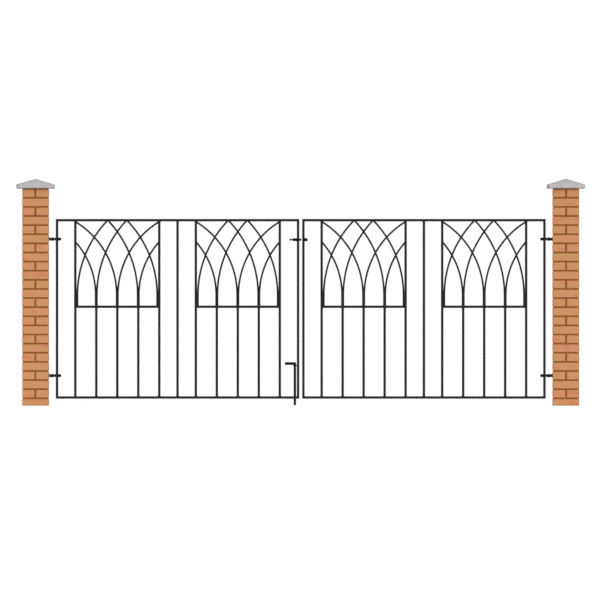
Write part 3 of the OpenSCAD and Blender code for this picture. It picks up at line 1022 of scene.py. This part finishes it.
for side in ("left", "right"):
    mirrored = side == "right"
    body = f"{side}_leaf"
    gate_look = steel_looks["gate_steel"]
    hinge_look = steel_looks["hinge_steel"]
    for name, panel in zip(("outer", "inner"), PANEL_X):
        node = f"{side}_{name}_tracery"
        piece(f"{node}_arches", tracery(panel), arch_look, body, [node], 40, mirrored)
    piece(f"{side}_leaf_welds", leaf_welds(), gate_look, body, (), 80, mirrored)
    for level, z in HINGE_Z.items():
        node = f"{side}_{level}_hinge_eye"
        piece(f"{node}_thread", eye(z), hinge_look, body, [node], 45, mirrored)
    node = f"{side}_hinge_nuts"
    piece(f"{node}_turned", nuts(), hinge_look, body, [node], 25, mirrored)


# Welds of the latch, its keep and the drop bolt's guide

FITTING_BEAD = 2.4 * MM
WELD_INSET = 2.5 * MM
WELD_LIFT = 0.3 * MM


def fitting_weld(node, stile, body):
    """Two beads where a fitting meets a stile: along its top edge and its bottom edge."""
    low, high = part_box(node)
    stile_lo, stile_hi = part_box(stile)
    start = Vector(map(max, low, stile_lo))
    end = Vector(map(min, high, stile_hi))
    run = 1 if end.x - start.x < WELD_INSET else 0
    start[run] += WELD_INSET
    end[run] -= WELD_INSET
    skins = Skins()
    for z in (high.z + WELD_LIFT, low.z - WELD_LIFT):
        skins.add(*bead((start.x, start.y, z), (end.x, end.y, z), FITTING_BEAD))
    piece(f"{node}_welds", skins, steel_looks["bolt_steel"], body, crease=80)


fitting_weld("latch_housing", "left_meeting_stile", "left_leaf")
fitting_weld("latch_keep", "right_meeting_stile", "right_leaf")
fitting_weld("drop_bolt_guide", "left_meeting_stile", "left_leaf")


# CAD nodes that stay: eased arrises and paint

EASED = {"gate_steel": 1.3 * MM, "hinge_steel": 0.8 * MM, "bolt_steel": 0.8 * MM}
PIN_EASED = 0.2 * MM
SAME_POINT = 0.01 * MM
SAME_FLAT = math.radians(0.5)
SHARP = math.radians(40)

slots = {part["node"]: part["material_slot"] for part in frame["record"]["subparts"]}
for name, node in nodes.items():
    slot = slots[name]
    if node.hide_render or slot not in steel_looks:
        continue
    node.data.materials.clear()
    node.data.materials.append(steel_looks[slot])
    weld = node.modifiers.new("weld", "WELD")
    weld.merge_threshold = SAME_POINT
    flats = node.modifiers.new("flats", "DECIMATE")
    flats.decimate_type = "DISSOLVE"
    flats.angle_limit = SAME_FLAT
    bevel = node.modifiers.new("bevel", "BEVEL")
    bevel.width = PIN_EASED if name.endswith("pins") else EASED[slot]
    bevel.segments = 2
    bevel.limit_method = "ANGLE"
    bevel.angle_limit = SHARP
    node.modifiers.new("normals", "WEIGHTED_NORMAL")


# Floor

FLOOR_GLOW = 0.38
FLOOR_Z = -0.5 * MM
FLOOR_X0, FLOOR_X1 = -1.4, 5.7
FLOOR_Y0, FLOOR_Y1 = -2.4, 3.2
FLOOR_DARK = (0.88, 0.88, 0.88, 1)
FLOOR_PALE = (0.92, 0.92, 0.92, 1)


def seen_rays(tree):
    """1 for rays from the camera, or by way of a reflection or clear material, and 0 for the rest."""
    rays = tree.nodes.new("ShaderNodeLightPath")
    seen = rays.outputs["Is Camera Ray"]
    for kind in ("Is Glossy Ray", "Is Transmission Ray"):
        either = tree.nodes.new("ShaderNodeMath")
        either.operation = "MAXIMUM"
        tree.links.new(seen, either.inputs[0])
        tree.links.new(rays.outputs[kind], either.inputs[1])
        seen = either.outputs[0]
    return seen


def floor_material():
    """Pale floor that keeps shadows. A faint glow brings it up to the white behind it."""
    s = Surface("pale_floor", 0.2)
    tone = s.noise(3, detail=3)
    colour = s.ramp(tone, (0.3, FLOOR_DARK), (0.7, FLOOR_PALE))
    glow = s.math("MULTIPLY", seen_rays(s.tree), FLOOR_GLOW)
    s.feed(s.shader.inputs["Emission Strength"], glow)
    return s.finish(colour, s.span(tone, 0.3, 0.7, 0.75, 0.85), tone, 0.2 * MM, 0.2)


floor_mesh = bpy.data.meshes.new("floor")
corners = [
    (FLOOR_X0, FLOOR_Y0, FLOOR_Z),
    (FLOOR_X1, FLOOR_Y0, FLOOR_Z),
    (FLOOR_X1, FLOOR_Y1, FLOOR_Z),
    (FLOOR_X0, FLOOR_Y1, FLOOR_Z),
]
floor_mesh.from_pydata(corners, [], [(0, 1, 2, 3)])
floor_mesh.materials.append(floor_material())
floor = bpy.data.objects.new("floor", floor_mesh)
bpy.context.scene.collection.objects.link(floor)


# Light. The world is white where it is seen, and half as strong as a light.

WORLD_LIGHT = 0.5
WORLD_SEEN = 1.0
SUNS = (
    ("key", (-0.35, 0.9, -0.2), 1.4, 20),
    ("fill", (0.6, 0.65, -0.3), 0.4, 60),
    ("back", (0.3, -0.8, -0.5), 0.6, 60),
)

world = bpy.data.worlds.new("studio")
bpy.context.scene.world = world
world.use_nodes = True
tree = world.node_tree
background = tree.nodes["Background"]
background.inputs["Color"].default_value = (1, 1, 1, 1)
strength = tree.nodes.new("ShaderNodeMapRange")
strength.inputs["To Min"].default_value = WORLD_LIGHT
strength.inputs["To Max"].default_value = WORLD_SEEN
tree.links.new(seen_rays(tree), strength.inputs["Value"])
tree.links.new(strength.outputs[0], background.inputs["Strength"])

for name, direction, energy, spread in SUNS:
    lamp = bpy.data.lights.new(name, "SUN")
    lamp.energy = energy
    lamp.angle = math.radians(spread)
    sun = bpy.data.objects.new(name, lamp)
    sun.rotation_mode = "QUATERNION"
    sun.rotation_quaternion = Vector(direction).to_track_quat("-Z", "Y")
    bpy.context.scene.collection.objects.link(sun)


# Camera: a long lens from the front, as the photograph shows no perspective

VIEW_W = 4.86
VIEW_X = 2.1416
VIEW_Z = 0.8546
LENS = 800
SENSOR = 36

camera_data = bpy.data.cameras.new("camera")
camera_data.lens = LENS
camera_data.sensor_width = SENSOR
camera_data.clip_start = 1
camera_data.clip_end = 400
camera = bpy.data.objects.new("camera", camera_data)
camera.location = (VIEW_X, -VIEW_W * LENS / SENSOR, VIEW_Z)
camera.rotation_euler = (math.radians(90), 0, 0)
bpy.context.scene.collection.objects.link(camera)
bpy.context.scene.camera = camera
bpy.context.scene.view_settings.view_transform = "Standard"
